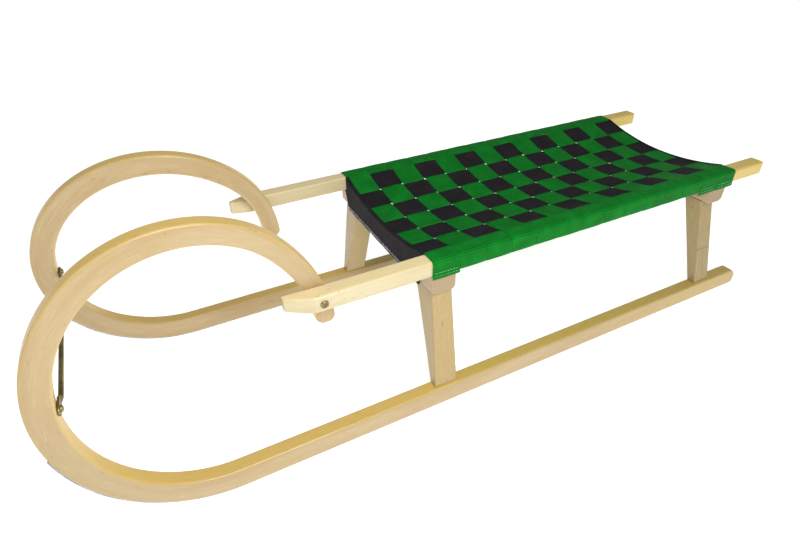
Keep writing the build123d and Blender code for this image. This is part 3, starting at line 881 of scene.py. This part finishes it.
def green_strap(number):
    """A strap across the seat: over and under the black ones, over the rails, and round them unless a
    crossbar is in the way. Its gap above the seat's line goes from the weave's wave to half its own
    thickness over the rails along an eased step, its middle is crowned by one less the square of the
    place across, and its open ends hang a little away from the rail."""
    front = SEAT_FRONT + (number - 1) * GREEN_PITCH
    looped = front > SEAT_FRONT + 0.04 and front + GREEN_PITCH < bar_boxes["rear"][0].x
    route = LOOPED if looped else OPEN
    inner = SAG_RADIUS * np.arcsin((RAIL_INNER - BLACK_PITCH * weave_steps(BLACK_COUNT)) / SAG_RADIUS)
    knots = np.cumsum([length for length, turn in route])
    knots[0] = inner[0]
    bends = [np.linspace(a, b, 9)[1:] for a, b in zip(knots[:-1], knots[1:])]
    outer = np.concatenate(bends)
    lateral = np.concatenate([outer[::-1], inner, -outer])
    y = seat_place(lateral, route)[0]
    wave = weave_wave((RAIL_INNER - y) / BLACK_PITCH, -1 if number % 2 == 0 else 1)
    on_rail = eased((np.abs(lateral) - (SAG_LENGTH - 0.012)) / 0.012)
    woven = LAYER_GAP + OVER_AND_UNDER * wave
    rail_gap = RAIL_CLEARANCE + WEBBING / 2
    slack = RAIL_SLACK * (1 + np.sin(lateral * 210 + 1.7 * number)) * on_rail
    gap = woven * (1 - on_rail) + rail_gap * on_rail + slack
    if not looped:
        lift = eased((np.abs(lateral) - knots[-1] + OPEN_LIFT_LENGTH) / OPEN_LIFT_LENGTH)
        gap = gap + OPEN_LIFT * lift
    across, share = strap_section()
    half = GREEN_WIDTH / 2 * (1 - on_rail) + (GREEN_PITCH / 2 - 0.0001) * on_rail
    sway = STRAP_WANDER * np.sin(lateral * 47 + 2.3 * number) * (1 - on_rail)
    x = front + GREEN_PITCH / 2 + sway[:, None] + across * half[:, None]
    lateral_grid = np.broadcast_to(lateral[:, None], x.shape)
    crown = GREEN_CROWN * (1 - across**2)
    points, up = on_seat(x, lateral_grid, gap[:, None] + crown, route)
    thickness = np.broadcast_to(WEBBING * share, x.shape).copy()
    thickness[[0, -1]] *= 0.6
    place = np.stack([lateral_grid + 0.7 * number, across * half[:, None]], -1)
    name = "%02d" % number
    piece = cloth(
        "green_strap_" + name,
        points,
        up,
        thickness,
        place,
        green_webbing,
        ["cross_strap_" + name],
    )
    return piece


def black_strap(number):
    """A strap along the seat, over and under the green ones on the weave's wave, that follows the
    seat's sag across its own width and is crowned as they are."""
    x = SEAT_FRONT + GREEN_PITCH * weave_steps(GREEN_COUNT)
    x = np.clip(x, SEAT_FRONT + SEAT_END_ROOM, SEAT_REAR - SEAT_END_ROOM)
    middle_y = RAIL_INNER - BLACK_PITCH * (number - 0.5)
    middle = SAG_RADIUS * math.asin(middle_y / SAG_RADIUS)
    wave = weave_wave((x - SEAT_FRONT) / GREEN_PITCH, 1 if number % 2 == 0 else -1)
    gap = LAYER_GAP + OVER_AND_UNDER * wave
    across, share = strap_section()
    half = BLACK_WIDTH / 2
    lateral = middle + across * half + STRAP_WANDER * np.sin(x * 41 + 1.9 * number)[:, None]
    x_grid = np.broadcast_to(x[:, None], lateral.shape)
    crown = BLACK_CROWN * (1 - across**2)
    points, up = on_seat(x_grid, lateral, gap[:, None] + crown, LOOPED)
    thickness = np.broadcast_to(WEBBING * share, lateral.shape)
    place = np.stack([x_grid + 0.9 * number, np.broadcast_to(across * half, lateral.shape)], -1)
    name = str(number)
    piece = cloth(
        "black_strap_" + name,
        points,
        up,
        thickness,
        place,
        black_webbing,
        ["long_strap_" + name],
    )
    return piece


HEM_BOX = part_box("front_hem_band")
HEM_FACE = (HEM_BOX[0].x + HEM_BOX[1].x) / 2
HEM_ROLL = 0.0022
HEM_LIP = 0.0035
HEM_FOLD = 0.007
HEM_THICKNESS = 0.0012
HEM_RIPPLE = 0.0005
HEM_STITCH_PITCH = 0.0052
HEM_STITCH_RISE = 0.0052
HEM_STITCH_LIFT = 0.0008
HEM_THREAD = 0.00045
REAR_HEM_RADIUS = 0.0021
REAR_HEM_THICKNESS = 0.0008
STITCH_ROWS = (0.0052, 0.0104)
STITCHES = 8
STITCH_PITCH = 0.0047
STITCH_LENGTH = 0.0033
STITCH_STANDOFF = 0.0006
STITCH_LIFT = 0.0006
STITCH_THREAD = 0.0004


def hem_corner_lift(y, low_z):
    """How far the hem's lower edge rises under the rails, towards its two ends: an eased step of the
    distance from the middle, up to the rail's underside."""
    return (RAIL_BOTTOM - 0.002 - low_z) * eased((np.abs(y) - RAIL_INNER + 0.011) / 0.014)


def front_hem():
    """The black hem: a lip on the seat's front edge, a small roll over it, and a flap that hangs down
    before the crossbar, with its lower edge turned up double. Each column of points follows the seat's
    sag at the top."""
    columns = np.linspace(-1, 1, 121)
    low_z = HEM_BOX[0].z
    under_rail = RAIL_BOTTOM - 0.0006
    flap_z = np.concatenate([np.linspace(low_z, low_z + HEM_FOLD, 7), np.linspace(0.214, under_rail, 12)])
    inside = RAIL_INNER - 0.0005
    wide = HEM_BOX[1].y
    lip_gap = LAYER_GAP + OVER_AND_UNDER + WEBBING / 2 + HEM_THICKNESS / 2 + 0.0004
    y_upper = columns * inside
    lateral = SAG_RADIUS * np.arcsin(y_upper / SAG_RADIUS)
    lip_z = on_seat(np.zeros_like(lateral), lateral, np.full_like(lateral, lip_gap), LOOPED)[0][:, 2]
    lifted = hem_corner_lift(columns * wide, low_z)
    rows, normals = [], []
    for z in flap_z:
        share = (under_rail - z) / (under_rail - low_z)
        ripple = HEM_RIPPLE * np.sin(columns * 11 + 0.6) * share
        rows.append(np.stack([HEM_FACE - np.abs(ripple), columns * wide, z + lifted * share], -1))
        normals.append(np.tile([-1.0, 0.0, 0.0], (len(columns), 1)))
    for share in np.linspace(0, 1, 6):
        z = (RAIL_BOTTOM + 0.0002) * (1 - share) + (lip_z - HEM_ROLL) * share
        rows.append(np.stack([np.full_like(columns, HEM_FACE), y_upper, z], -1))
        normals.append(np.tile([-1.0, 0.0, 0.0], (len(columns), 1)))
    for turn in np.radians(np.linspace(15, 90, 6)):
        x = HEM_FACE + HEM_ROLL * (1 - math.cos(turn))
        z = lip_z - HEM_ROLL * (1 - math.sin(turn))
        rows.append(np.stack([np.full_like(columns, x), y_upper, z], -1))
        normals.append(np.tile([-math.cos(turn), 0.0, math.sin(turn)], (len(columns), 1)))
    for reach in (HEM_LIP * 0.5, HEM_LIP):
        rows.append(np.stack([np.full_like(columns, HEM_FACE + HEM_ROLL + reach), y_upper, lip_z], -1))
        normals.append(np.tile([0.0, 0.0, 1.0], (len(columns), 1)))
    middle, up = np.array(rows), np.array(normals)
    thickness = np.full(middle.shape[:2], HEM_THICKNESS)
    thickness[:6] = HEM_THICKNESS * 1.5
    thickness[[0, -1]] *= 0.5
    thickness[:, [0, -1]] *= 0.5
    down = np.cumsum(np.concatenate([[0.0], np.linalg.norm(np.diff(middle[:, 60], axis=0), axis=1)]))
    place = np.stack([middle[..., 1], np.broadcast_to(down[:, None], middle.shape[:2])], -1)
    replaced = ["front_hem_band"]
    piece = cloth("front_hem", middle, up, thickness, place, black_webbing, replaced)

    start_y = np.arange(-RAIL_INNER + 0.006, RAIL_INNER - 0.009, HEM_STITCH_PITCH)
    low = low_z + hem_corner_lift(start_y, low_z) + 0.0035 + 0.0005 * np.sin(start_y * 900)
    face_x = HEM_BOX[0].x - 0.0004
    starts = np.stack([np.full_like(start_y, face_x), start_y, low], -1)
    ends = starts + np.array([0.0, HEM_STITCH_PITCH * 0.55, HEM_STITCH_RISE])
    lift = np.tile([-HEM_STITCH_LIFT, 0.0, 0.0], (len(starts), 1))
    slanted = stitching("hem_stitching", starts, ends, lift, HEM_THREAD, pale_thread)
    return piece


def rear_hem():
    """A narrow black band folded over the seat's rear edge: a lip above, half a turn, a lip below."""
    middle_x = SEAT_REAR - 0.0004
    turn = np.linspace(-QUARTER, QUARTER, 11)
    reach = np.concatenate([[-0.0032, -0.0016], REAR_HEM_RADIUS * np.cos(turn), [-0.0016, -0.0032]])
    height = REAR_HEM_RADIUS * np.concatenate([[-1, -1], np.sin(turn), [1, 1]])
    normal_x = np.concatenate([[0, 0], np.cos(turn), [0, 0]])
    normal_up = np.concatenate([[-1, -1], np.sin(turn), [1, 1]])
    lateral = SAG_RADIUS * np.arcsin(np.linspace(-1, 1, 121) * (RAIL_INNER - 0.0006) / SAG_RADIUS)
    grid = np.zeros((len(reach), len(lateral)))
    points, up = on_seat(
        middle_x + reach[:, None] + grid, lateral + grid, LAYER_GAP + height[:, None] + grid, LOOPED
    )
    normal = up * normal_up[:, None, None]
    normal[..., 0] += normal_x[:, None]
    thickness = np.full(grid.shape, REAR_HEM_THICKNESS)
    thickness[[0, -1]] *= 0.5
    thickness[:, [0, -1]] *= 0.5
    place = np.stack([lateral + grid, reach[:, None] + height[:, None] + grid], -1)
    replaced = ["rear_hem_band"]
    piece = cloth("rear_hem", points, normal, thickness, place, black_webbing, replaced)
    return piece


def strap_stitching():
    """Two rows of stitches that sew the turned ends of the open straps on the rails' outer faces."""
    starts = []
    for number in (1, 13, 14):
        front = SEAT_FRONT + (number - 0.5) * GREEN_PITCH - GREEN_WIDTH / 2
        for row in STITCH_ROWS:
            x = front + 0.004 + STITCH_PITCH * np.arange(STITCHES)
            starts.append(np.stack([x, np.full(STITCHES, row)], -1))
    starts = np.concatenate(starts)
    face = RAIL_OUTER + RAIL_CLEARANCE + WEBBING + 0.0004
    out = face + STITCH_STANDOFF * eased((OPEN_LIFT_LENGTH - starts[:, 1]) / OPEN_LIFT_LENGTH)
    right = np.stack([starts[:, 0], out, OPEN_END + starts[:, 1]], -1)
    first = np.concatenate([right, right * [1, -1, 1]])
    last = first + [STITCH_LENGTH, 0.0, 0.0]
    lift = np.zeros_like(first)
    lift[:, 1] = np.sign(first[:, 1]) * STITCH_LIFT
    return stitching(
        "strap_stitching", first, last, lift, STITCH_THREAD, green_thread
    )


# ---------------------------------------------------------------- the sled
sides = {"left": -1, "right": 1}
for side_name, side in sides.items():
    bent_runner(side_name, side)
    rail(side_name, side)
    for end in bar_boxes:
        leg(end, side_name, side)
for end in bar_boxes:
    crossbar(end)
tie_rod()
for number in range(1, GREEN_COUNT + 1):
    green_strap(number)
for number in range(1, BLACK_COUNT + 1):
    black_strap(number)
front_hem()
rear_hem()
strap_stitching()

carried = {
    "runner_sole_left": sole_steel,
    "runner_sole_right": sole_steel,
    "sole_screws_left": screw_steel,
    "sole_screws_right": screw_steel,
    "rail_screws": screw_steel,
    "horn_screw_left": screw_steel,
    "horn_screw_right": screw_steel,
    "tie_rod_screws": screw_steel,
}
for node_name, metal in carried.items():
    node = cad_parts[node_name]
    node.data.materials.clear()
    node.data.materials.append(metal)


# ---------------------------------------------------------------- floor, light and camera
def plain(name, shade, glow):
    """A matt studio surface with a little light of its own."""
    paint = Shader(name)
    return paint.finish(
        Base_Color=shade,
        Roughness=0.9,
        Specular_IOR_Level=0.0,
        Emission_Color=shade,
        Emission_Strength=glow,
    )


def make_floor():
    """A large pale square at the sled's foot."""
    reach = 14.0
    mesh = bpy.data.meshes.new("floor")
    corners = [(-reach, -reach, 0.0), (reach, -reach, 0.0), (reach, reach, 0.0), (-reach, reach, 0.0)]
    mesh.from_pydata(corners, [], [(0, 1, 2, 3)])
    mesh.materials.append(plain("floor_paint", (0.82, 0.82, 0.82, 1.0), 0.92))
    floor = bpy.data.objects.new("floor", mesh)
    bpy.context.scene.collection.objects.link(floor)


def make_light(name, place, target, size, watts):
    """A square soft light that faces the target."""
    light = bpy.data.lights.new(name, "AREA")
    light.size = size
    light.energy = watts
    lamp = bpy.data.objects.new(name, light)
    lamp.location = place
    lamp.rotation_euler = (Vector(target) - Vector(place)).to_track_quat("-Z", "Y").to_euler()
    bpy.context.scene.collection.objects.link(lamp)


def make_camera():
    """The camera looks along its heading, down by its pitch, and is rolled a little."""
    heading, pitch, roll = (math.radians(value) for value in (26.78, 34.52, -0.80))
    forward = Vector(
        (math.sin(heading) * math.cos(pitch), math.cos(heading) * math.cos(pitch), -math.sin(pitch))
    )
    level = Vector((math.cos(heading), -math.sin(heading), 0.0))
    above = level.cross(forward)
    right = level * math.cos(roll) + above * math.sin(roll)
    upward = above * math.cos(roll) - level * math.sin(roll)
    camera = bpy.data.objects.new("camera", bpy.data.cameras.new("camera"))
    camera.data.lens = 24.33
    camera.data.sensor_width = 36.0
    camera.matrix_world = Matrix.Translation((-0.4234, -0.7044, 0.6877)) @ Matrix(
        (right, upward, -forward)
    ).transposed().to_4x4()
    bpy.context.scene.collection.objects.link(camera)
    bpy.context.scene.camera = camera


make_floor()
make_light("key", (-0.25, -0.95, 1.05), (-0.2, 0.0, 0.2), 0.5, 11.5)
make_light("top", (0.0, -0.2, 2.4), (0.0, 0.0, 0.2), 1.6, 4.0)
make_camera()
world = bpy.data.worlds.new("studio")
world.use_nodes = True
world.node_tree.nodes["Background"].inputs["Color"].default_value = (1.0, 1.0, 1.0, 1.0)
world.node_tree.nodes["Background"].inputs["Strength"].default_value = 0.34
bpy.context.scene.world = world
bpy.context.scene.view_settings.view_transform = "Standard"
